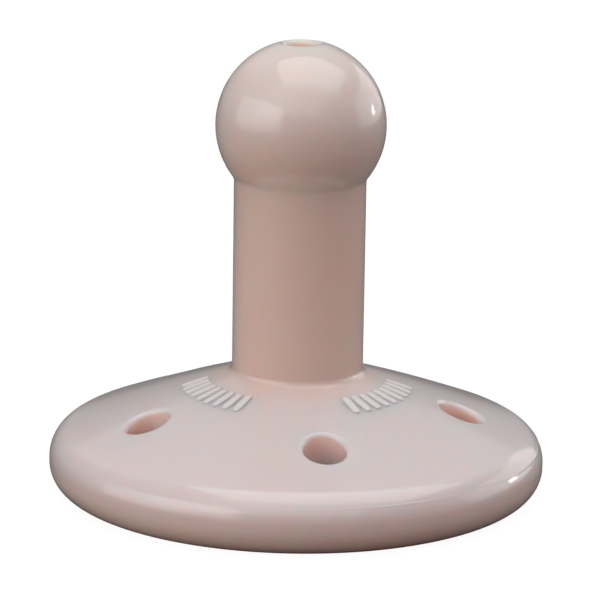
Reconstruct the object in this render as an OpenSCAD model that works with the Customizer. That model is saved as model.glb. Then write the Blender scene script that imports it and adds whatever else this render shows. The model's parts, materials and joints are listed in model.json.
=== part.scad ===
// Stem pessary: a dished disc with drain holes, a stem and a ball-shaped finger knob,
// all one silicone moulding with a drain channel down its middle.
// The origin is on the surface that it stands on, on the stem's axis. Millimetres, +Z up, front at -Y.

/* [Disc] */
// Diameter over the rim
disc_d = 70; // [66:1:76]
// Height of the disc's widest line
rim_mid_z = 4.5; // [4:0.1:5]
// Radius of the rim's rounding above its widest line
rim_r = 4.52; // [4:0.02:5]
// Radius of the rim's rounding below its widest line
foot_r = 3.9; // [3.6:0.1:4]
// Depth of the flat that the rim stands on
foot_flat = 0.07; // [0.04:0.01:0.12]
// Slope of the upper face where it meets the rim
rim_slope = 21.5; // [19:0.5:24]
// Radius of the upper face's slight crown, seen in section
crown_r = 340; // [250:10:600]
// Height of the hollow under the disc, at its middle
dish_h = 11.2; // [10:0.1:12]
// Radius of the hollow's spherical roof
dish_r = 62; // [58:1:70]
// Radius of the blend between the hollow's roof and the rim
dish_blend = 2; // [1:0.5:3]

/* [Drain holes] */
// Number of drain holes through the disc
drain_count = 5; // [3:1:6]
// Diameter of a drain hole
drain_d = 5.8; // [4:0.1:6.4]
// Diameter of the circle that the drain holes lie on
drain_circle_d = 46.2; // [42:0.2:47]
// Direction of the first drain hole, turned from the front towards the right
drain_turn = 9.7; // [0:0.1:72]

/* [Stem] */
// Diameter of the stem
stem_d = 18.5; // [17:0.1:20]
// Diameter of the drain channel down the middle
channel_d = 5; // [4:0.1:6]
// Radius of the blend at the foot of the stem
root_blend = 1.2; // [0.6:0.1:2]

/* [Knob] */
// Diameter of the knob's ball
knob_d = 23.8; // [22:0.1:26]
// Height of the ball's centre
knob_z = 52; // [48:0.5:56]
// Radius of the blend between the ball and the stem
neck_blend = 1.4; // [0.6:0.1:2]
// Radius of the round lip where the channel opens
mouth_lip = 0.6; // [0.3:0.1:0.8]

/* [Raised marks] */
// Number of raised bars in each of the two rows
bar_count = 9; // [3:1:10]
// Angle from one bar to the next
bar_step = 6.7; // [6:0.1:7]
// Angle from the front to the middle of each row
row_turn = 58; // [50:1:66]
// Length of a bar, along the disc's radius
bar_l = 4; // [3:0.1:5]
// Width of a bar
bar_w = 1; // [0.6:0.1:1.2]
// Height of a bar above the disc's upper face
bar_h = 0.3; // [0.2:0.05:0.6]
// Radius of the circle through the middles of the bars
bar_circle_r = 14.4; // [14:0.1:16]

/* [Hidden] */
$fn = 96;
silicone_pink = [0.86, 0.73, 0.70];
mark_pink = [0.90, 0.82, 0.80];
clear = 1;        // how far a cutting shape runs past what it cuts
front_axis = -90; // direction of the front, counted from +X

disc_r = disc_d / 2;
stem_r = stem_d / 2;
channel_r = channel_d / 2;
knob_r = knob_d / 2;

// A point in section is [distance from the axis, height].
// Where a circle about c with radius r is touched by another circle whose centre is p.
function touch(c, r, p) = c + r * (p - c) / norm(p - c);
// Height at distance x from the axis of the upper side of a circle about c with radius r.
function arc_z(c, r, x) = c[1] + sqrt(pow(r, 2) - pow(x - c[0], 2));
// Where a circle about a with radius ra crosses one about b with radius rb, left of the way from a to b.
function crossing(a, ra, b, rb) =
    let (gap = norm(b - a),
         ahead = (b - a) / gap,
         left = [-ahead[1], ahead[0]],
         along = (pow(ra, 2) - pow(rb, 2) + pow(gap, 2)) / (2 * gap))
    a + along * ahead + sqrt(pow(ra, 2) - pow(along, 2)) * left;

// Circles of the disc's section: the rim above and below its widest line, the crown, and the hollow.
rim_at = [disc_r - rim_r, rim_mid_z];
foot_at = [disc_r - foot_r, foot_r - foot_flat];
rim_top = rim_at + rim_r * [sin(rim_slope), cos(rim_slope)];
crown_at = rim_top - crown_r * [sin(rim_slope), cos(rim_slope)];
dish_at = [0, dish_h - dish_r];
dish_blend_at = crossing(dish_at, dish_r - dish_blend, foot_at, foot_r + dish_blend);
dish_end = touch(dish_at, dish_r, dish_blend_at);

// The blend at the stem's foot rolls on the crown and on the stem's side.
root_x = stem_r + root_blend;
root_at = [root_x, arc_z(crown_at, crown_r + root_blend, root_x)];
root_end = touch(crown_at, crown_r, root_at);
disc_top = root_at[1]; // the stem's own solid starts here

// The blend at the neck rolls on the stem's side and on the ball.
ball_at = [0, knob_z];
neck_x = stem_r + neck_blend;
neck_at = [neck_x, knob_z - sqrt(pow(knob_r + neck_blend, 2) - pow(neck_x, 2))];
neck_end = touch(ball_at, knob_r, neck_at);
stem_top = neck_at[1]; // the knob's own solid starts here

// The lip of the channel's mouth rolls inside the ball, against the channel's wall.
lip_x = channel_r + mouth_lip;
lip_at = [lip_x, knob_z + sqrt(pow(knob_r - mouth_lip, 2) - pow(lip_x, 2))];
lip_end = touch(ball_at, knob_r, lip_at);
knob_top = knob_z + knob_r;

// What lies under the crown, raised by lift, out to where it meets the rim.
module under_crown(lift = 0) {
    intersection() {
        translate(crown_at) circle(r = crown_r + lift, $fn = 720);
        translate([0, rim_mid_z]) square([rim_top[0], disc_top - rim_mid_z]);
    }
}

// The rim in section: two roundings that meet a short upright at the widest line.
module rim_section() {
    translate(rim_at) circle(r = rim_r);
    translate(foot_at) circle(r = foot_r);
    translate(foot_at) square([foot_r, rim_mid_z - foot_at[1]]);
}

// The hollow under the disc in section, with the blend that leads from its roof to the rim.
module hollow_section() {
    difference() {
        intersection() {
            translate(dish_at) circle(r = dish_r, $fn = 360);
            translate([-clear, -clear]) square([foot_at[0] + clear, dish_h + 2 * clear]);
        }
        translate(foot_at) circle(r = foot_r);
        difference() {
            polygon([dish_blend_at, foot_at, [foot_at[0], dish_end[1] + clear], dish_end]);
            translate(dish_blend_at) circle(r = dish_blend);
        }
    }
}

// The disc in section, with the blend at the stem's foot.
module disc_section() {
    difference() {
        union() {
            under_crown();
            rim_section();
            translate([0, rim_mid_z]) square([root_end[0], disc_top - rim_mid_z]);
        }
        translate(root_at) circle(r = root_blend);
        hollow_section();
        translate([-clear, 0]) square([channel_r + clear, disc_top + clear]);
        translate([0, -clear]) square([disc_r, clear]);
    }
}

module disc() {
    color(silicone_pink)
    difference() {
        rotate_extrude() disc_section();
        for (i = [0 : drain_count - 1])
            rotate([0, 0, front_axis + drain_turn + i * 360 / drain_count])
            translate([drain_circle_d / 2, 0, -clear])
            cylinder(d = drain_d, h = disc_top + 2 * clear);
    }
}

module stem() {
    color(silicone_pink)
    translate([0, 0, disc_top])
    difference() {
        cylinder(r = stem_r, h = stem_top - disc_top);
        translate([0, 0, -clear]) cylinder(r = channel_r, h = stem_top - disc_top + 2 * clear);
    }
}

// The knob in section: the ball, the neck's blend, the channel and the lip of its mouth.
module knob_section() {
    difference() {
        union() {
            intersection() {
                translate(ball_at) circle(r = knob_r, $fn = 180);
                translate([0, stem_top]) square([knob_r, knob_d]);
            }
            difference() {
                translate([0, stem_top]) square([neck_end[0], knob_z - stem_top]);
                translate(neck_at) circle(r = neck_blend);
            }
        }
        translate([-clear, stem_top - clear]) square([channel_r + clear, knob_top]);
        difference() {
            translate([0, lip_at[1]]) square([lip_end[0], knob_top - lip_at[1]]);
            translate(lip_at) circle(r = mouth_lip);
        }
    }
}

module knob() {
    color(silicone_pink) rotate_extrude() knob_section();
}

// Two rows of plain raised bars, cut from a thin skin that lies on the crown.
module raised_marks() {
    color(mark_pink)
    intersection() {
        rotate_extrude()
        difference() {
            under_crown(bar_h);
            under_crown();
        }
        for (side = [-1, 1], i = [0 : bar_count - 1])
            rotate([0, 0, front_axis + side * row_turn + (i - (bar_count - 1) / 2) * bar_step])
            translate([bar_circle_r - bar_l / 2, -bar_w / 2, 0])
            cube([bar_l, bar_w, disc_top]);
    }
}

disc();
stem();
knob();
raised_marks();
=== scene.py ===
# %% [markdown]
# # A stem pessary in pale silicone
#
# The object is one soft moulding: a dished disc with five drain holes, a hollow stem and a ball-shaped knob.
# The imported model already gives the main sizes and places. This lesson builds the visible skin of each region
# as a surface worked out with numpy, in millimetres, and gives it a silicone finish made of shader nodes.

# %% Load the frame
import json
import math

import bmesh
import bpy
import numpy as np
from mathutils import Matrix, Vector


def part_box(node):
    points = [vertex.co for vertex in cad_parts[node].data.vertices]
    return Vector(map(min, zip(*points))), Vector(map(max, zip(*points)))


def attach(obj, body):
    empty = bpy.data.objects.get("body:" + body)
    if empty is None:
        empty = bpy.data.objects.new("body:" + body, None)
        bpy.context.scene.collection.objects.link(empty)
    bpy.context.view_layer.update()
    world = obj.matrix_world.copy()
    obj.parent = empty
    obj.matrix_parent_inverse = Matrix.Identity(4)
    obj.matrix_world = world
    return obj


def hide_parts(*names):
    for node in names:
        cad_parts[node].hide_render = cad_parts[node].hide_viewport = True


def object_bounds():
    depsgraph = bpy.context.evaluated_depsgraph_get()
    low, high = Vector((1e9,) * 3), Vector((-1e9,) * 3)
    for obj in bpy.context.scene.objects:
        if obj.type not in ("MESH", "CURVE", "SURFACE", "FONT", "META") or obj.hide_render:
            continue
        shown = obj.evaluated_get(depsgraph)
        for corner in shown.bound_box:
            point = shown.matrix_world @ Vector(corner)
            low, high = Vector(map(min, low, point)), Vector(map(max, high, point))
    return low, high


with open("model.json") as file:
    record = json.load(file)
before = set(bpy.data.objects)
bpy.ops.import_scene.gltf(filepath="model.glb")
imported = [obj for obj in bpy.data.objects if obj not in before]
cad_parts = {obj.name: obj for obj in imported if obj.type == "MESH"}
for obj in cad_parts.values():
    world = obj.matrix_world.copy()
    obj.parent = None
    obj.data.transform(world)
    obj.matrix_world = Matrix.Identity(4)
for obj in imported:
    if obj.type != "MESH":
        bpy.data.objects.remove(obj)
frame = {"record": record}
cad_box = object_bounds()
MM = 0.001  # metres in a millimetre


def box_mm(node):
    """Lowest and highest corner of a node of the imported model, in millimetres."""
    low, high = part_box(node)
    return np.array(low) / MM, np.array(high) / MM


model_size = np.array(cad_box[1]) - np.array(cad_box[0])
print("the packed model measures", model_size.round(4), "m")

# %% [markdown]
# ## Sizes
#
# A lathe-turned shape is described by half of its section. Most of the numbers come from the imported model:
# the boxes of its nodes give the radii and heights, and its mounts give the channel and the drain holes. The
# remaining ones are the radii of the roundings, which a box can't tell.

# %% Read the sizes from the frame
mounts = {mount["name"]: mount for mount in frame["record"]["mounts"]}
channel_r = mounts["drain_channel"]["dims"]["r_mm"]
drain_r = mounts["drain_holes"]["dims"]["hole_r_mm"]
drain_circle_r = mounts["drain_holes"]["dims"]["pcd_mm"] / 2
drain_count = mounts["drain_holes"]["dims"]["count"]

disc_r = round(box_mm("disc")[1][0], 1)
stem_r = round(box_mm("stem")[1][0], 2)
disc_top = box_mm("stem")[0][2]    # the stem's region starts here
stem_top = box_mm("stem")[1][2]    # the knob's region starts here
knob_r = round(box_mm("knob")[1][0], 1)
knob_top = box_mm("knob")[1][2]

MOUTH_LIP = 0.6      # rounding where the channel opens
lip_x = channel_r + MOUTH_LIP
# The mouth's lip is the highest point, and its circle rolls inside the ball.
knob_z = knob_top - MOUTH_LIP - math.sqrt((knob_r - MOUTH_LIP) ** 2 - lip_x ** 2)

RIM_MID_Z = 4.5      # height of the disc's widest line
RIM_R = 4.52         # rounding above the widest line
FOOT_R = 3.9         # rounding below it
FOOT_FLAT = 0.07     # depth of the flat that the rim stands on
RIM_SLOPE = math.radians(21.5)
CROWN_R = 340.0      # radius of the upper face's slight crown, in section
DISH_H = 11.2        # height of the hollow under the disc
DISH_R = 62.0        # radius of the hollow's roof
DISH_BLEND = 2.0     # blend between the roof and the rim
ROOT_BLEND = 1.2     # blend at the stem's foot
NECK_BLEND = 1.4     # blend between stem and ball
DRAIN_LIP = 0.75     # rounding of a drain hole's edges
DRAIN_TURN = math.radians(9.7)  # first drain hole, turned from the front towards the right
SEAT_GAP = 0.02      # how far each of the flats between two regions lies back from their joint
print("disc radius", disc_r, "stem radius", stem_r, "knob radius", knob_r)
print("ball centre at", round(knob_z, 2), "top at", round(knob_top, 2))

# %% [markdown]
# ## The section's circles
#
# Wherever two faces of a moulding meet there is a rounding, and each one is an arc that touches both
# neighbours. Finding such an arc by eye never gives a clean highlight, so every centre is worked out from the
# condition that the arcs touch. A point in section is a pair: distance from the axis, and height.


# %% Work out where the arcs touch
def point(x, z):
    """A point in section as an array."""
    return np.array([x, z], float)


def touch(centre, radius, other):
    """Where a circle is touched by one about another centre: centre + radius * unit vector to the other."""
    way = other - centre
    return centre + radius * way / np.linalg.norm(way)


def arc_height(centre, radius, x):
    """Upper side of a circle: z = zc + sqrt(radius^2 - (x - xc)^2)."""
    return centre[1] + np.sqrt(radius ** 2 - (x - centre[0]) ** 2)


def crossing(a, radius_a, b, radius_b):
    """Crossing of two circles on the left of the way from a to b. The foot of the common chord lies
    (ra^2 - rb^2 + d^2) / 2d along the way, and the crossing is square to it from there."""
    gap = np.linalg.norm(b - a)
    ahead = (b - a) / gap
    along = (radius_a ** 2 - radius_b ** 2 + gap ** 2) / (2 * gap)
    left = np.array([-ahead[1], ahead[0]])
    return a + along * ahead + math.sqrt(radius_a ** 2 - along ** 2) * left


slope_way = point(math.sin(RIM_SLOPE), math.cos(RIM_SLOPE))
rim_at = point(disc_r - RIM_R, RIM_MID_Z)
foot_at = point(disc_r - FOOT_R, FOOT_R - FOOT_FLAT)
rim_top = rim_at + RIM_R * slope_way
crown_at = rim_top - CROWN_R * slope_way
dish_at = point(0, DISH_H - DISH_R)
dish_blend_at = crossing(dish_at, DISH_R - DISH_BLEND, foot_at, FOOT_R + DISH_BLEND)
dish_end = touch(dish_at, DISH_R, dish_blend_at)
root_at = point(stem_r + ROOT_BLEND, arc_height(crown_at, CROWN_R + ROOT_BLEND, stem_r + ROOT_BLEND))
root_end = touch(crown_at, CROWN_R, root_at)
ball_at = point(0, knob_z)
neck_at = point(stem_r + NECK_BLEND, stem_top)
neck_end = touch(ball_at, knob_r, neck_at)
lip_at = point(lip_x, knob_z + math.sqrt((knob_r - MOUTH_LIP) ** 2 - lip_x ** 2))
lip_end = touch(ball_at, knob_r, lip_at)
print("stem's blend ends at radius", root_end[0].round(2), "- hollow's roof ends at", dish_end[0].round(2))

# %% [markdown]
# ## Surfaces on a grid
#
# Every skin here is a function of two parameters, computed for a whole grid at once. Each grid closes on
# itself one way round, so its last column is joined to its first. Patches that meet share their border
# points, and merging the doubles makes one closed mesh of them.


# %% Helpers for grids and meshes
TURN_STEPS = 240     # columns round the axis
SHARP_ANGLE = 50.0   # edges sharper than this, in degrees, keep a crisp shade
MERGE_GAP = 0.0005   # points closer than this, in millimetres, are doubles


def arc(centre, radius, start, end, steps):
    """Points centre + radius * (cos t, sin t) for t from start to end, in degrees."""
    t = np.radians(np.linspace(start, end, steps + 1))
    return centre + radius * np.stack([np.cos(t), np.sin(t)], axis=1)


def angle_of(centre, target):
    """Direction from a centre to a point in section, in degrees."""
    return math.degrees(math.atan2(target[1] - centre[1], target[0] - centre[0]))


def revolve(section):
    """Rows of the section carried round Z: (x, z) becomes (x sin a, -x cos a, z), so the first column lies at
    the front, on -Y, and the angle a grows towards +X."""
    a = np.linspace(0, 2 * math.pi, TURN_STEPS, endpoint=False)
    x = section[:, 0][:, None]
    z = np.broadcast_to(section[:, 1][:, None], (len(section), TURN_STEPS))
    return np.stack([x * np.sin(a), -x * np.cos(a), z], axis=2)


def quads(rows, columns, start):
    """Corner numbers of the quads of a grid whose points are numbered row by row from start, and whose last
    column is joined to its first."""
    r = np.arange(rows - 1)[:, None]
    c = np.arange(columns)[None, :]
    following = (c + 1) % columns
    corners = [r * columns + c, r * columns + following,
               (r + 1) * columns + following, (r + 1) * columns + c]
    return np.stack(np.broadcast_arrays(*corners), axis=2).reshape(-1, 4) + start


def build(name, grids):
    """One closed mesh from grids of points in millimetres. Doubles are merged and faces turned outwards."""
    vertices, faces, count = [], [], 0
    for points in grids:
        rows, columns = points.shape[:2]
        vertices.append(points.reshape(-1, 3) * MM)
        faces.append(quads(rows, columns, count))
        count += rows * columns
    mesh = bpy.data.meshes.new(name)
    mesh.from_pydata(np.concatenate(vertices), [], np.concatenate(faces).tolist())
    work = bmesh.new()
    work.from_mesh(mesh)
    bmesh.ops.remove_doubles(work, verts=work.verts, dist=MERGE_GAP * MM)
    bmesh.ops.recalc_face_normals(work, faces=work.faces)
    open_edges = sum(not edge.is_manifold for edge in work.edges)
    volume = work.calc_volume() / MM ** 3
    work.to_mesh(mesh)
    work.free()
    mesh.shade_smooth()
    mesh.set_sharp_from_angle(angle=math.radians(SHARP_ANGLE))
    piece = bpy.data.objects.new(name, mesh)
    bpy.context.collection.objects.link(piece)
    print(name, len(mesh.polygons), "faces,", open_edges, "open edges,", round(volume), "mm3")
    return piece


print("a turned skin has", TURN_STEPS, "columns")

# %% [markdown]
# ## The disc
#
# The disc is turned, apart from its drain holes, and a hole through a turned grid is what usually spoils the
# highlights round it. A boolean cut would leave long thin faces there. So a ring of the disc is split in plan
# into five equal cells, one round each hole. Inside a cell the grid runs along spokes from the hole's edge to
# the cell's border, and elsewhere it is the plain turned grid, with border points that both share.


# %% Heights of the upper face and of the hollow's roof
def upper_height(r):
    """Height of the crown, a wide arc in section, at distance r from the axis."""
    return arc_height(crown_at, CROWN_R, r)


def roof_height(r):
    """Height of the hollow's roof: a sphere, and past its end the blend that leads down to the rim."""
    sphere = arc_height(dish_at, DISH_R, r)
    over = np.clip(r, dish_end[0], dish_blend_at[0] + DISH_BLEND)
    return np.where(r <= dish_end[0], sphere, arc_height(dish_blend_at, DISH_BLEND, over))


print("the hollow is", round(float(roof_height(0)), 2), "mm high in the middle")

# %% Border of a cell
CELL_IN = 17.2    # cells reach from this radius
CELL_OUT = 27.0   # to this one
SIDE_STEPS = 20   # border points along a cell's straight side
arc_steps = TURN_STEPS // drain_count


def cell_border(turn):
    """The closed border of a cell in plan, as points in order round the hole: out along one side, along the
    outer arc, back in along the other side, and along the inner arc."""
    half = math.pi / drain_count
    side = np.linspace(CELL_IN, CELL_OUT, SIDE_STEPS + 1)
    sweep = np.linspace(-half, half, arc_steps + 1)
    radius = np.concatenate([side[:-1], np.full(arc_steps, CELL_OUT),
                             side[:0:-1], np.full(arc_steps, CELL_IN)])
    angle = turn + np.concatenate([np.full(SIDE_STEPS, -half), sweep[:-1],
                                   np.full(SIDE_STEPS, half), sweep[:0:-1]])
    return np.stack([radius * np.sin(angle), -radius * np.cos(angle)], axis=1)


print("a cell has", len(cell_border(0)), "spokes")

# %% [markdown]
# Along each spoke the edge of the hole is rounded by an arc that touches both the hole's upright wall and the
# sloping face. With slope m along the spoke, the arc's centre lies one radius beyond the wall and
# radius * sqrt(1 + m^2) under the face, and the arc ends at the face's normal. That keeps the lip the same
# width all the way round, though the face slopes.


# %% The grid of one drain hole's cell
LIP_STEPS = 8
SPOKE_STEPS = 13
WALL_STEPS = 8
CROWDING = 1.5    # rows get closer towards the hole by this power
NUDGE = 0.01      # step along a spoke for measuring its slope


def hole_grid(turn):
    """Grid of a cell, from its border on the upper face, in along the spokes, over the lip, down the wall,
    over the lower lip and out along the roof to its border there. Rows follow that way, columns are the
    spokes."""
    centre = drain_circle_r * np.array([math.sin(turn), -math.cos(turn)])
    border = cell_border(turn)
    length = np.linalg.norm(border - centre, axis=1)
    way = (border - centre) / length[:, None]

    def at(distance, height):
        """Points that far along the spokes at that height."""
        plan = centre + way * distance[:, None]
        return np.concatenate([plan, height[:, None]], axis=1)

    def face_rows(surface, side):
        """Rows from the border to the lip's end, then the lip's own rows. side is 1 on top and -1 below."""
        reach = np.full(len(way), drain_r + DRAIN_LIP)
        radius = np.linalg.norm(centre + way * reach[:, None], axis=1)
        further = np.linalg.norm(centre + way * (reach + NUDGE)[:, None], axis=1)
        slope = (surface(further) - surface(radius)) / NUDGE
        steep = np.sqrt(1 + slope ** 2)
        middle = surface(radius) - side * DRAIN_LIP * steep
        normal = np.arctan2(side, -side * slope)
        rows = []
        lip_end_at = reach + DRAIN_LIP * np.cos(normal)
        for share in np.linspace(1, 0, SPOKE_STEPS, endpoint=False):
            distance = lip_end_at + (length - lip_end_at) * share ** CROWDING
            rows.append(at(distance, surface(np.linalg.norm(centre + way * distance[:, None], axis=1))))
        for share in np.linspace(0, 1, LIP_STEPS + 1):
            t = normal + (side * math.pi - normal) * share
            rows.append(at(reach + DRAIN_LIP * np.cos(t), middle + DRAIN_LIP * np.sin(t)))
        return rows, middle

    top_rows, top_middle = face_rows(upper_height, 1)
    low_rows, low_middle = face_rows(roof_height, -1)
    wall = []
    for share in np.linspace(0, 1, WALL_STEPS + 1)[1:-1]:
        wall.append(at(np.full(len(way), drain_r), top_middle + (low_middle - top_middle) * share))
    return np.stack(top_rows + wall + low_rows[::-1])


print("a cell's grid has", hole_grid(0).shape[0], "rows")

# %% [markdown]
# The mould's two halves leave a fine line round the rim. It is a real ridge here, a few hundredths of a
# millimetre high, because a bump in the material would not show on the outline. The halves never fit equally
# well all round, so the ridge is highest on one side and nearly gone on the other.

# %% The turned parts of the disc's skin
PARTING_ANGLE = 31.0   # where the mould's halves met, up the rim's rounding, in degrees
PARTING_BAND = 6.0     # rows are close together this far to either side of it, in degrees
PARTING_HEIGHT = 0.05
PARTING_WIDTH = 0.13
PARTING_SIDE = math.radians(68)  # the ridge is highest this far round from the front
PARTING_LEAST = 0.12   # share of its height that is left on the far side


def parting_lift(along, turn):
    """Height of the ridge: height * exp(-(along / width)^2) across it, times a wave round the rim that is 1
    at PARTING_SIDE and falls with the square of the cosine to PARTING_LEAST."""
    bell = np.exp(-(along / PARTING_WIDTH) ** 2)
    wave = np.clip(np.cos(turn - PARTING_SIDE), 0, 1) ** 2
    return PARTING_HEIGHT * bell * (PARTING_LEAST + (1 - PARTING_LEAST) * wave)


def rim_grid():
    """The rim from the crown's end round to the hollow: rounding with its ridge, foot, flat and inside."""
    crown = np.stack([np.linspace(CELL_OUT, rim_top[0], 7)[:-1]] * 2, axis=1)
    crown[:, 1] = upper_height(crown[:, 0])
    normal = 90 - math.degrees(RIM_SLOPE)
    degrees = np.concatenate([
        np.linspace(normal, PARTING_ANGLE + PARTING_BAND, 16, endpoint=False),
        np.linspace(PARTING_ANGLE + PARTING_BAND, PARTING_ANGLE - PARTING_BAND, 28, endpoint=False),
        np.linspace(PARTING_ANGLE - PARTING_BAND, 0, 12),
    ])
    t = np.radians(degrees)
    upper = rim_at + RIM_R * np.stack([np.cos(t), np.sin(t)], axis=1)
    land = math.degrees(math.asin(foot_at[1] / FOOT_R))
    foot = arc(foot_at, FOOT_R, 0, -land, 22)
    inside = arc(foot_at, FOOT_R, -180 + land, angle_of(foot_at, dish_blend_at) % 360 - 360, 20)
    reach = math.degrees(math.acos((CELL_OUT - dish_blend_at[0]) / DISH_BLEND))
    blend = arc(dish_blend_at, DISH_BLEND, angle_of(dish_blend_at, foot_at), reach, 10)[1:]
    grid = revolve(np.concatenate([crown, upper, foot, inside, blend]))
    turn = np.linspace(0, 2 * math.pi, TURN_STEPS, endpoint=False)[None, :]
    along = np.radians(degrees - PARTING_ANGLE)[:, None] * RIM_R
    lift = parting_lift(along, turn + DRAIN_TURN)  # the whole grid is turned by DRAIN_TURN later
    outward = np.stack([np.cos(t)[:, None] * np.sin(turn), -np.cos(t)[:, None] * np.cos(turn),
                        np.broadcast_to(np.sin(t)[:, None], lift.shape)], axis=2)
    rows = slice(len(crown), len(crown) + len(upper))
    grid[rows] += outward * lift[:, :, None]
    return grid


print("the rim's grid has", rim_grid().shape[0], "rows")

# %% [markdown]
# The regions of the moulding meet in flats that nobody sees. Two faces in the very same place would flicker
# in a render, so each flat lies a hair back from the joint, apart from its edges.


# %% The inner part of the disc's skin
def seat_rows(height, side):
    """The flat where two regions meet, from the outside in. Between its edges it lies SEAT_GAP back,
    to side -1 (down) or 1 (up)."""
    back = side * SEAT_GAP * np.array([0, 1, 1, 1, 1, 0])
    x = stem_r + (channel_r - stem_r) * np.array([0, 0.01, 0.3, 0.6, 0.99, 1])
    return np.stack([x, height + back], axis=1)


def hub_grid():
    """From the cells' inner border up the crown and the stem's blend, in to the channel, down it, and out
    over the roof's lip and along the roof to the cells' border below."""
    x = np.linspace(CELL_IN, root_end[0], 10)
    crown = np.stack([x, upper_height(x)], axis=1)
    blend = arc(root_at, ROOT_BLEND, angle_of(root_at, crown_at) + 360, 180, 10)[1:]
    seat = seat_rows(disc_top, -1)[1:]
    lip = DRAIN_LIP
    lip_centre = point(channel_r + lip, 0)
    lip_centre[1] = dish_at[1] + math.sqrt((DISH_R + lip) ** 2 - lip_centre[0] ** 2)
    channel = np.stack([np.full(8, channel_r), np.linspace(disc_top, lip_centre[1], 8)], axis=1)[1:-1]
    roof_start = touch(dish_at, DISH_R, lip_centre)
    edge = arc(lip_centre, lip, 180, 360 + angle_of(lip_centre, dish_at), LIP_STEPS)
    x = np.linspace(roof_start[0], CELL_IN, 16)[1:]
    roof = np.stack([x, roof_height(x)], axis=1)
    return revolve(np.concatenate([crown, blend, seat, channel, edge, roof]))


print("the hub's grid has", hub_grid().shape[0], "rows")

# %% [markdown]
# The turned grids count their columns from the front, while the cells are turned so that a hole lies in the
# middle of each. Turning the whole turned grid by the same amount makes the shared border points coincide.


# %% Put the disc together
def turned(points, angle):
    """Points turned about Z by an angle, from the front towards the right."""
    c, s = math.cos(angle), math.sin(angle)
    x, y = points[..., 0], points[..., 1]
    return np.stack([x * c - y * s, x * s + y * c, points[..., 2]], axis=-1)


cells = [hole_grid(DRAIN_TURN + 2 * math.pi * k / drain_count) for k in range(drain_count)]
disc = build("pessary_disc", [turned(rim_grid(), DRAIN_TURN), turned(hub_grid(), DRAIN_TURN), *cells])
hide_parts("disc")
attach(disc, "root")

# %% [markdown]
# ## Stem and knob
#
# Both are plain turned shapes, so one section each is enough. The ball's rows get closer towards the mouth's
# lip, where the curvature is strongest. Where the regions meet, their skins run into each other in a straight
# line along the stem, so the moulding shows no joint.


# %% Build the stem and the knob
STEM_ROWS = 30
CHANNEL_ROWS = 16  # in the knob


def stem_section():
    """A closed loop: up the outside, in over the top, down the channel and out over the bottom."""
    rows = np.linspace(disc_top, stem_top, STEM_ROWS)
    outside = np.stack([np.full(STEM_ROWS, stem_r), rows], axis=1)
    channel = np.stack([np.full(STEM_ROWS, channel_r), rows[::-1]], axis=1)
    return np.concatenate([outside[:-1], seat_rows(stem_top, -1),
                           channel[1:-1], seat_rows(disc_top, 1)[::-1]])


def knob_section():
    """A closed loop: neck blend, ball, mouth lip, channel, and the flat that meets the stem."""
    neck = arc(neck_at, NECK_BLEND, 180, angle_of(neck_at, ball_at), 12)
    ball = arc(ball_at, knob_r, angle_of(ball_at, neck_end), angle_of(ball_at, lip_end), 70)[1:]
    lip = arc(lip_at, MOUTH_LIP, angle_of(ball_at, lip_end), 180, 12)[1:]
    rows = np.linspace(lip_at[1], stem_top, CHANNEL_ROWS)
    channel = np.stack([np.full(CHANNEL_ROWS, channel_r), rows], axis=1)[1:]
    return np.concatenate([neck, ball, lip, channel[:-1], seat_rows(stem_top, 1)[::-1]])


stem = build("pessary_stem", [revolve(stem_section())])
knob = build("pessary_knob", [revolve(knob_section())])
for piece, node in ((stem, "stem"), (knob, "knob")):
    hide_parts(node)
    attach(piece, "root")

# %% [markdown]
# ## Raised bars
#
# Two rows of low bars stand on the disc at either side of the stem. Each is a superellipsoid: an ellipsoid
# whose sines and cosines are raised to a small power, which fattens it into a bar with soft edges. Half of it
# lies inside the disc, so there is no gap under it.

# %% Build the bars
BAR_COUNT = 9                          # in each row
BAR_STEP = math.radians(6.7)
ROW_TURN = math.radians(58)            # middle of a row, from the front
BAR_HALF = np.array([2.0, 0.5, 0.3])   # half length, half width, height above the disc
BAR_CIRCLE_R = 14.4                    # radius of the circle that the bars' middles lie on
SQUARENESS = 0.42
BAR_GRID = (15, 28)                    # rows and columns of a bar's skin


def power(wave, exponent):
    """Signed power: sign(w) * |w|^exponent."""
    return np.sign(wave) * np.abs(wave) ** exponent


def bar_grid(turn):
    """Superellipsoid: x = a cos(v)^e cos(u)^e, y = b cos(v)^e sin(u)^e, z = c sin(v)^e, with x down the
    disc's slope, y round the axis and z out of the face."""
    u = np.linspace(0, 2 * math.pi, BAR_GRID[1], endpoint=False)[None, :]
    v = np.linspace(-math.pi / 2, math.pi / 2, BAR_GRID[0])[:, None]
    e = SQUARENESS
    shape = np.stack([power(np.cos(v), e) * power(np.cos(u), e),
                      power(np.cos(v), e) * power(np.sin(u), e),
                      np.broadcast_to(power(np.sin(v), e), BAR_GRID)], axis=2) * BAR_HALF
    tilt = math.atan2(BAR_CIRCLE_R - crown_at[0], upper_height(BAR_CIRCLE_R) - crown_at[1])
    radial = BAR_CIRCLE_R + shape[..., 0] * math.cos(tilt) + shape[..., 2] * math.sin(tilt)
    height = upper_height(BAR_CIRCLE_R) - shape[..., 0] * math.sin(tilt) + shape[..., 2] * math.cos(tilt)
    return turned(np.stack([shape[..., 1], -radial, height], axis=2), turn)


middle = (BAR_COUNT - 1) / 2
bar_grids = [bar_grid(side * ROW_TURN + (k - middle) * BAR_STEP)
             for side in (-1, 1) for k in range(BAR_COUNT)]
marks = build("pessary_marks", bar_grids)
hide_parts("raised_marks")
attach(marks, "root")

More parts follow.
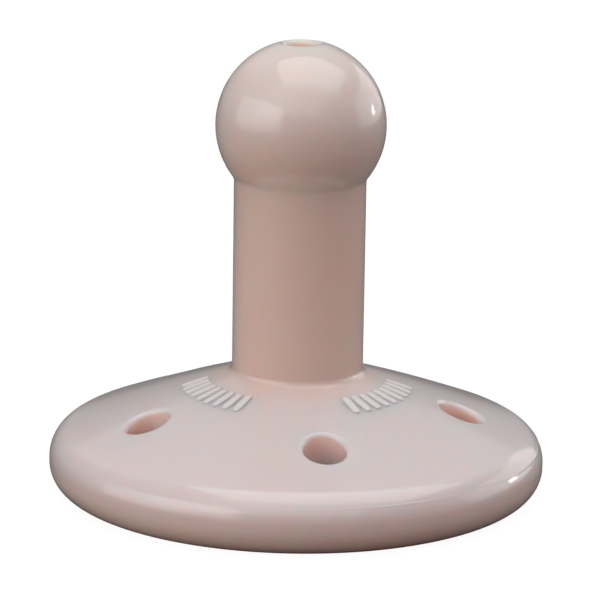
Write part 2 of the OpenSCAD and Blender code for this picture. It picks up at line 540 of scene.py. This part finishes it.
# %% [markdown]
# ## The silicone's finish
#
# Moulded silicone is smooth and a little translucent: light goes in, scatters, and comes out warmer near by,
# so thin edges and holes glow. The Principled shader's subsurface part does that. What keeps it from looking
# like wax is the surface: slow waves from the mould, a very fine grain, handling haze that changes the gloss,
# and a few specks of dust, which silicone always picks up. All four materials use it, so it is a node group.


# %% Node group: the moulded surface
def new_group(name, inputs, outputs):
    """An empty shader node group. inputs and outputs are lists of (name, socket type, default)."""
    group = bpy.data.node_groups.new(name, "ShaderNodeTree")
    for names, way in ((inputs, "INPUT"), (outputs, "OUTPUT")):
        for label, kind, default in names:
            socket = group.interface.new_socket(name=label, in_out=way, socket_type=kind)
            if default is not None:
                socket.default_value = default
    return group, group.nodes.new("NodeGroupInput"), group.nodes.new("NodeGroupOutput")


def noise(tree, vector, scale, detail, rough=0.5):
    """A noise texture's value, about 0.5 on average."""
    node = tree.nodes.new("ShaderNodeTexNoise")
    node.inputs["Scale"].default_value = scale
    node.inputs["Detail"].default_value = detail
    node.inputs["Roughness"].default_value = rough
    tree.links.new(vector, node.inputs["Vector"])
    return node.outputs["Fac"]


def math_node(tree, operation, a, b):
    """A Math node's value. a and b are sockets or numbers."""
    node = tree.nodes.new("ShaderNodeMath")
    node.operation = operation
    for socket, value in zip(node.inputs, (a, b)):
        if isinstance(value, (int, float)):
            socket.default_value = value
        else:
            tree.links.new(value, socket)
    return node.outputs[0]


def remap(tree, value, from_low, from_high, to_low, to_high, smooth=False):
    """A clamped Map Range node's value, along a line or along a smooth step."""
    node = tree.nodes.new("ShaderNodeMapRange")
    node.interpolation_type = "SMOOTHSTEP" if smooth else "LINEAR"
    for socket, number in zip(node.inputs[1:5], (from_low, from_high, to_low, to_high)):
        socket.default_value = number
    tree.links.new(value, node.inputs[0])
    return node.outputs[0]


# Patterns per metre, and how high they stand in millimetres.
WAVES, WAVE_HEIGHT = 70.0, 0.05
GRAINS, GRAIN_HEIGHT = 2600.0, 0.0015
HAZE_PATCHES = 60.0
SPECK_CELLS, SPECK_HEIGHT = 330.0, 0.01
SPECK_EDGE = (0.04, 0.08)     # a speck fades between these distances from its cell's point
SPECK_CHOSEN = (0.955, 0.96)  # only cells whose random value is above this hold a speck


def moulded_group():
    """Shared surface of moulded silicone. Puts out a haze mask, a speck mask and a height in millimetres: the
    sum of the waves, the grain and the specks, each with its own height."""
    group, inside, outside = new_group(
        "moulded_surface",
        [("Vector", "NodeSocketVector", None), ("Waviness", "NodeSocketFloat", 1.0),
         ("Grain", "NodeSocketFloat", 1.0)],
        [("Haze", "NodeSocketFloat", None), ("Specks", "NodeSocketFloat", None),
         ("Height", "NodeSocketFloat", None)])
    vector = inside.outputs["Vector"]
    waves = noise(group, vector, WAVES, 1.0)
    grain = noise(group, vector, GRAINS, 3.0, 0.6)
    haze = remap(group, noise(group, vector, HAZE_PATCHES, 3.0, 0.45), 0.35, 0.65, 0.0, 1.0, smooth=True)
    cells_node = group.nodes.new("ShaderNodeTexVoronoi")
    cells_node.inputs["Scale"].default_value = SPECK_CELLS
    group.links.new(vector, cells_node.inputs["Vector"])
    dot = remap(group, cells_node.outputs["Distance"], *SPECK_EDGE, 1.0, 0.0)
    split = group.nodes.new("ShaderNodeSeparateColor")
    group.links.new(cells_node.outputs["Color"], split.inputs[0])
    chosen = remap(group, split.outputs[0], *SPECK_CHOSEN, 0.0, 1.0)
    specks = math_node(group, "MULTIPLY", dot, chosen)
    wave_height = math_node(group, "SUBTRACT", waves, 0.5)
    wave_height = math_node(group, "MULTIPLY", wave_height, inside.outputs["Waviness"])
    grain_height = math_node(group, "SUBTRACT", grain, 0.5)
    grain_height = math_node(group, "MULTIPLY", grain_height, inside.outputs["Grain"])
    height = math_node(group, "ADD", math_node(group, "MULTIPLY", wave_height, WAVE_HEIGHT),
                       math_node(group, "MULTIPLY", grain_height, GRAIN_HEIGHT))
    height = math_node(group, "ADD", height, math_node(group, "MULTIPLY", specks, SPECK_HEIGHT))
    for socket, name in ((haze, "Haze"), (specks, "Specks"), (height, "Height")):
        group.links.new(socket, outside.inputs[name])
    return group


moulded = moulded_group()
outputs = [item.name for item in moulded.interface.items_tree if item.in_out == "OUTPUT"]
print("group", moulded.name, "puts out", outputs)

# %% [markdown]
# Scattered light can't cross from one region's mesh into the next, so it would be lost at the flats inside
# the moulding and leave a dull ring at each joint. A few nodes measure how far a point is from the nearest
# joint, and the scattering distance grows from nothing with it, so close to a joint little light gets that
# far in. They stand in each material itself, because the shared group gives only what colour, gloss and
# height need.


# %% Nodes: distance to the joints
JOINT_REACH = 6.0  # from this distance on, in millimetres, light scatters fully


def away_from_joints(tree, vector):
    """Share of the full scattering distance, 0 at a joint and 1 from JOINT_REACH on. With r the distance from
    the axis, the distance to a joint is sqrt(max(r - stem radius, 0)^2 + (z - joint)^2), and the smaller of
    the two joints' values counts."""
    split = tree.nodes.new("ShaderNodeSeparateXYZ")
    tree.links.new(vector, split.inputs[0])
    x, y, z = split.outputs
    squares = math_node(tree, "ADD", math_node(tree, "MULTIPLY", x, x), math_node(tree, "MULTIPLY", y, y))
    beyond = math_node(tree, "SUBTRACT", math_node(tree, "SQRT", squares, 0.0), stem_r * MM)
    beyond = math_node(tree, "MAXIMUM", beyond, 0.0)
    beyond = math_node(tree, "MULTIPLY", beyond, beyond)
    gaps = []
    for joint in (disc_top, stem_top):
        level = math_node(tree, "SUBTRACT", z, joint * MM)
        gaps.append(math_node(tree, "ADD", beyond, math_node(tree, "MULTIPLY", level, level)))
    nearest = math_node(tree, "SQRT", math_node(tree, "MINIMUM", *gaps), 0.0)
    share = math_node(tree, "DIVIDE", nearest, JOINT_REACH * MM)
    return math_node(tree, "MINIMUM", share, 1.0)


print("joints at", round(disc_top, 2), "and", round(stem_top, 2))

# %% [markdown]
# Faces that look up are painted paler, a painted sheen that stands in for the light from overhead, while faces
# that look down and the holes keep the pink. The painted sheen is a mask from the way a face looks, and it
# mixes the body colour with a paler one. A clear coat over the softer gloss gives the wet look. The knob's copy
# has its own tint and its painted sheen reaches further down. The bars are duller and let no light in.


# %% Material: silicone
PAINTED_SHEEN_FULL = 0.5        # how far a surface faces up where the painted sheen is full
PAINTED_SHEEN_IN_CLEAN = 0.88   # share of the painted sheen where there is no haze
PAINTED_SHEEN_AT_JOINT = 0.2    # share of the painted sheen left at a joint: painted shade in the creases there
SCATTER_RATIO = (1.0, 0.40, 0.28)  # red light gets furthest


def silicone(name, tint, speck_and_sheen, painted_sheen_from, gloss, waviness, grain, scatter, coat):
    """Silicone. tint is the body colour and speck_and_sheen the paler colour of the dust specks and of the
    painted sheen, the paler colour painted on faces that look up, from where a surface faces up by
    painted_sheen_from. gloss is the roughness of the clean and the hazy parts, scatter the distance light gets
    inside, in millimetres, and coat the share of the clear wet-looking skin over it all."""
    material = bpy.data.materials.new(name)
    material.use_nodes = True
    tree = material.node_tree
    shader = tree.nodes["Principled BSDF"]
    place = tree.nodes.new("ShaderNodeTexCoord")
    surface = tree.nodes.new("ShaderNodeGroup")
    surface.node_tree = moulded
    surface.inputs["Waviness"].default_value = waviness
    surface.inputs["Grain"].default_value = grain
    tree.links.new(place.outputs["Object"], surface.inputs["Vector"])
    away = away_from_joints(tree, place.outputs["Object"])

    # Painted sheen: faces that look up get the paler colour, standing in for the light from overhead. Less of
    # it near the joints is painted shade in the creases there.
    facing = tree.nodes.new("ShaderNodeSeparateXYZ")
    tree.links.new(place.outputs["Normal"], facing.inputs[0])
    painted_sheen = remap(tree, facing.outputs[2], painted_sheen_from, PAINTED_SHEEN_FULL, 0.0, 1.0, smooth=True)
    for kept in (remap(tree, surface.outputs["Haze"], 0.0, 1.0, PAINTED_SHEEN_IN_CLEAN, 1.0),
                 remap(tree, away, 0.0, 1.0, PAINTED_SHEEN_AT_JOINT, 1.0, smooth=True)):
        painted_sheen = math_node(tree, "MULTIPLY", painted_sheen, kept)
    blend = tree.nodes.new("ShaderNodeMix")
    blend.data_type = "RGBA"
    blend.inputs["A"].default_value = (*tint, 1)
    blend.inputs["B"].default_value = (*speck_and_sheen, 1)
    # The paler colour goes where the painted sheen is and where the dust specks are.
    tree.links.new(math_node(tree, "MAXIMUM", painted_sheen, surface.outputs["Specks"]), blend.inputs["Factor"])
    tree.links.new(blend.outputs["Result"], shader.inputs["Base Color"])

    tree.links.new(remap(tree, surface.outputs["Haze"], 0.0, 1.0, *gloss), shader.inputs["Roughness"])
    bump = tree.nodes.new("ShaderNodeBump")
    bump.inputs["Strength"].default_value = 1.0
    bump.inputs["Distance"].default_value = MM
    tree.links.new(surface.outputs["Height"], bump.inputs["Height"])
    tree.links.new(bump.outputs["Normal"], shader.inputs["Normal"])
    shader.inputs["IOR"].default_value = 1.48
    shader.inputs["Coat Weight"].default_value = coat
    shader.inputs["Coat Roughness"].default_value = 0.10
    shader.inputs["Coat IOR"].default_value = 1.6
    if scatter:
        shader.inputs["Subsurface Weight"].default_value = 1.0
        shader.inputs["Subsurface Radius"].default_value = SCATTER_RATIO
        tree.links.new(math_node(tree, "MULTIPLY", away, scatter * MM), shader.inputs["Subsurface Scale"])
    return material


# Body colour, and the paler colour of the dust specks and of the painted sheen on faces that look up.
PINK, DUST_AND_SHEEN = (0.90, 0.64, 0.56), (0.79, 0.685, 0.685)
# The knob's copy is tinted a little differently, and its painted sheen reaches further down, to match the light
# falling on the knob.
KNOB_PINK, KNOB_DUST_AND_SHEEN = (0.90, 0.65, 0.555), (0.825, 0.71, 0.672)
# The bars are painted pale: partly their own frosted look, partly a painted highlight from the light they
# catch.
PALE_BAR, PALE_BAR_DUST_AND_SHEEN = (0.80, 0.76, 0.75), (0.84, 0.80, 0.79)
WET, DRY = (0.34, 0.44), (0.5, 0.6)
finish = {
    disc: silicone("silicone_disc", PINK, DUST_AND_SHEEN, -0.4, WET, 1.0, 1.0, 8.0, 1.0),
    stem: silicone("silicone_stem", PINK, DUST_AND_SHEEN, -0.06, WET, 1.0, 1.0, 8.0, 1.0),
    # the knob's painted sheen starts lower than the disc's, standing in for the light on the ball
    knob: silicone("silicone_knob", KNOB_PINK, KNOB_DUST_AND_SHEEN, -0.7, WET, 1.0, 1.0, 8.0, 1.0),
    marks: silicone("silicone_raised", PALE_BAR, PALE_BAR_DUST_AND_SHEEN, 0.0, DRY, 0.4, 3.0, 0, 0.2),
}
for piece, material in finish.items():
    piece.data.materials.append(material)
print("finishes:", [material.name for material in finish.values()])

# %% [markdown]
# ## Studio
#
# The floor looks nearly white but gives back little light, so the rim's underside keeps its depth. The Light
# Path node tells the two apart: the camera's own rays meet a floor that glows, and others a dark matt one.


# %% Floor
FLOOR_HALF = 3.0      # metres
FLOOR_SEEN = 0.10     # how much light the floor that the camera sees gives back
FLOOR_GLOW = 0.95     # and how brightly it glows
FLOOR_BOUNCE = 0.14   # how much light the floor gives back to everything else


def matt_grey(tree, value):
    """A diffuse shader of one grey."""
    node = tree.nodes.new("ShaderNodeBsdfDiffuse")
    node.inputs["Color"].default_value = (value, value, value, 1)
    return node.outputs[0]


def floor_material():
    """Nearly white to the camera, dark to everything else, by the Light Path node."""
    material = bpy.data.materials.new("studio_floor")
    material.use_nodes = True
    tree = material.node_tree
    tree.nodes.clear()
    out = tree.nodes.new("ShaderNodeOutputMaterial")
    path = tree.nodes.new("ShaderNodeLightPath")
    glow = tree.nodes.new("ShaderNodeEmission")
    glow.inputs["Strength"].default_value = FLOOR_GLOW
    bright = tree.nodes.new("ShaderNodeAddShader")
    tree.links.new(matt_grey(tree, FLOOR_SEEN), bright.inputs[0])
    tree.links.new(glow.outputs[0], bright.inputs[1])
    mix = tree.nodes.new("ShaderNodeMixShader")
    tree.links.new(path.outputs["Is Camera Ray"], mix.inputs[0])
    tree.links.new(matt_grey(tree, FLOOR_BOUNCE), mix.inputs[1])
    tree.links.new(bright.outputs[0], mix.inputs[2])
    tree.links.new(mix.outputs[0], out.inputs[0])
    return material


floor_mesh = bpy.data.meshes.new("floor")
floor_mesh.from_pydata([(-FLOOR_HALF, -FLOOR_HALF, 0), (FLOOR_HALF, -FLOOR_HALF, 0),
                        (FLOOR_HALF, FLOOR_HALF, 0), (-FLOOR_HALF, FLOOR_HALF, 0)], [], [(0, 1, 2, 3)])
floor = bpy.data.objects.new("floor", floor_mesh)
bpy.context.collection.objects.link(floor)
floor_mesh.materials.append(floor_material())
print("floor", 2 * FLOOR_HALF, "m wide")

# %% [markdown]
# Glossy silicone shows where its lights stand, so each light is placed by direction: an angle round from the
# front, an angle up, and a distance. Two softboxes hang overhead and one stands high at the front. At the
# front left, one shows as a window on the knob and a larger one lights the stem from the side. At the right,
# behind, a very small one gives the knob its bright spot in front of a large one, and the last stands high at
# the back. The rest of the room is dim, which gives the outline its grey edge.


# %% Lights and surroundings
CENTRE = Vector((0, 0, 0.03))
ROOM_LIGHT = 0.23


def softbox(name, round_from_front, rise, distance, size, watts):
    """A rectangular area light facing the object. Angles in degrees, counted from the front towards the right
    and up from the horizon; distance and size in metres."""
    turn, up = math.radians(round_from_front), math.radians(rise)
    way = Vector((math.sin(turn) * math.cos(up), -math.cos(turn) * math.cos(up), math.sin(up)))
    lamp = bpy.data.lights.new(name, "AREA")
    lamp.shape = "RECTANGLE"
    lamp.size, lamp.size_y = size
    lamp.energy = watts
    holder = bpy.data.objects.new(name, lamp)
    holder.location = CENTRE + way * distance
    holder.rotation_euler = (-way).to_track_quat("-Z", "Y").to_euler()
    bpy.context.collection.objects.link(holder)


softbox("overhead", 90, 80, 0.9, (0.80, 1.15), 3.95)
softbox("overhead_wide", 0, 78, 1.1, (2.4, 1.7), 0.2)
softbox("window_left", -50, 23, 1.0, (0.73, 0.44), 0.78)
softbox("left", -62, 8, 1.2, (1.7, 1.1), 6.0)
softbox("front_top", -8, 46, 1.1, (1.6, 0.9), 2.65)
softbox("right_strip", 118, 7.5, 1.0, (0.11, 0.11), 0.25)
softbox("right_back", 118, 10, 1.3, (1.7, 0.9), 4.1)
softbox("back_top", 180, 42, 1.2, (1.8, 0.8), 1.2)

world = bpy.data.worlds.new("studio")
bpy.context.scene.world = world
world.use_nodes = True
background = world.node_tree.nodes["Background"]
background.inputs["Color"].default_value = (1, 1, 1, 1)
background.inputs["Strength"].default_value = ROOM_LIGHT
bpy.context.scene.view_settings.view_transform = "Standard"
print(len(bpy.data.lights), "softboxes")

# %% [markdown]
# ## Camera
#
# A long lens from nearly half a metre away, a little above the disc, leaning by under a degree. Such a lens
# hardly widens the near side of the disc, as in a picture for a catalogue.

# %% Place the camera
CAMERA_RISE = math.radians(13.57)
CAMERA_ROLL = math.radians(0.878)
CAMERA_AWAY = 0.45     # metres
AIM_POINT = Vector((0.000225, 0, 0.02699))
LENS_LENGTH = 192      # millimetres, with a sensor 36 mm wide

lens = bpy.data.cameras.new("camera")
lens.sensor_width = 36
lens.lens = LENS_LENGTH
lens.clip_start = 0.01
camera = bpy.data.objects.new("camera", lens)
away = Vector((0, -math.cos(CAMERA_RISE), math.sin(CAMERA_RISE)))
camera.matrix_world = (Matrix.Translation(AIM_POINT + away * CAMERA_AWAY)
                       @ Matrix.Rotation(math.pi / 2 - CAMERA_RISE, 4, "X")
                       @ Matrix.Rotation(CAMERA_ROLL, 4, "Z"))
bpy.context.collection.objects.link(camera)
bpy.context.scene.camera = camera
print("camera at", [round(value, 4) for value in camera.matrix_world.translation])
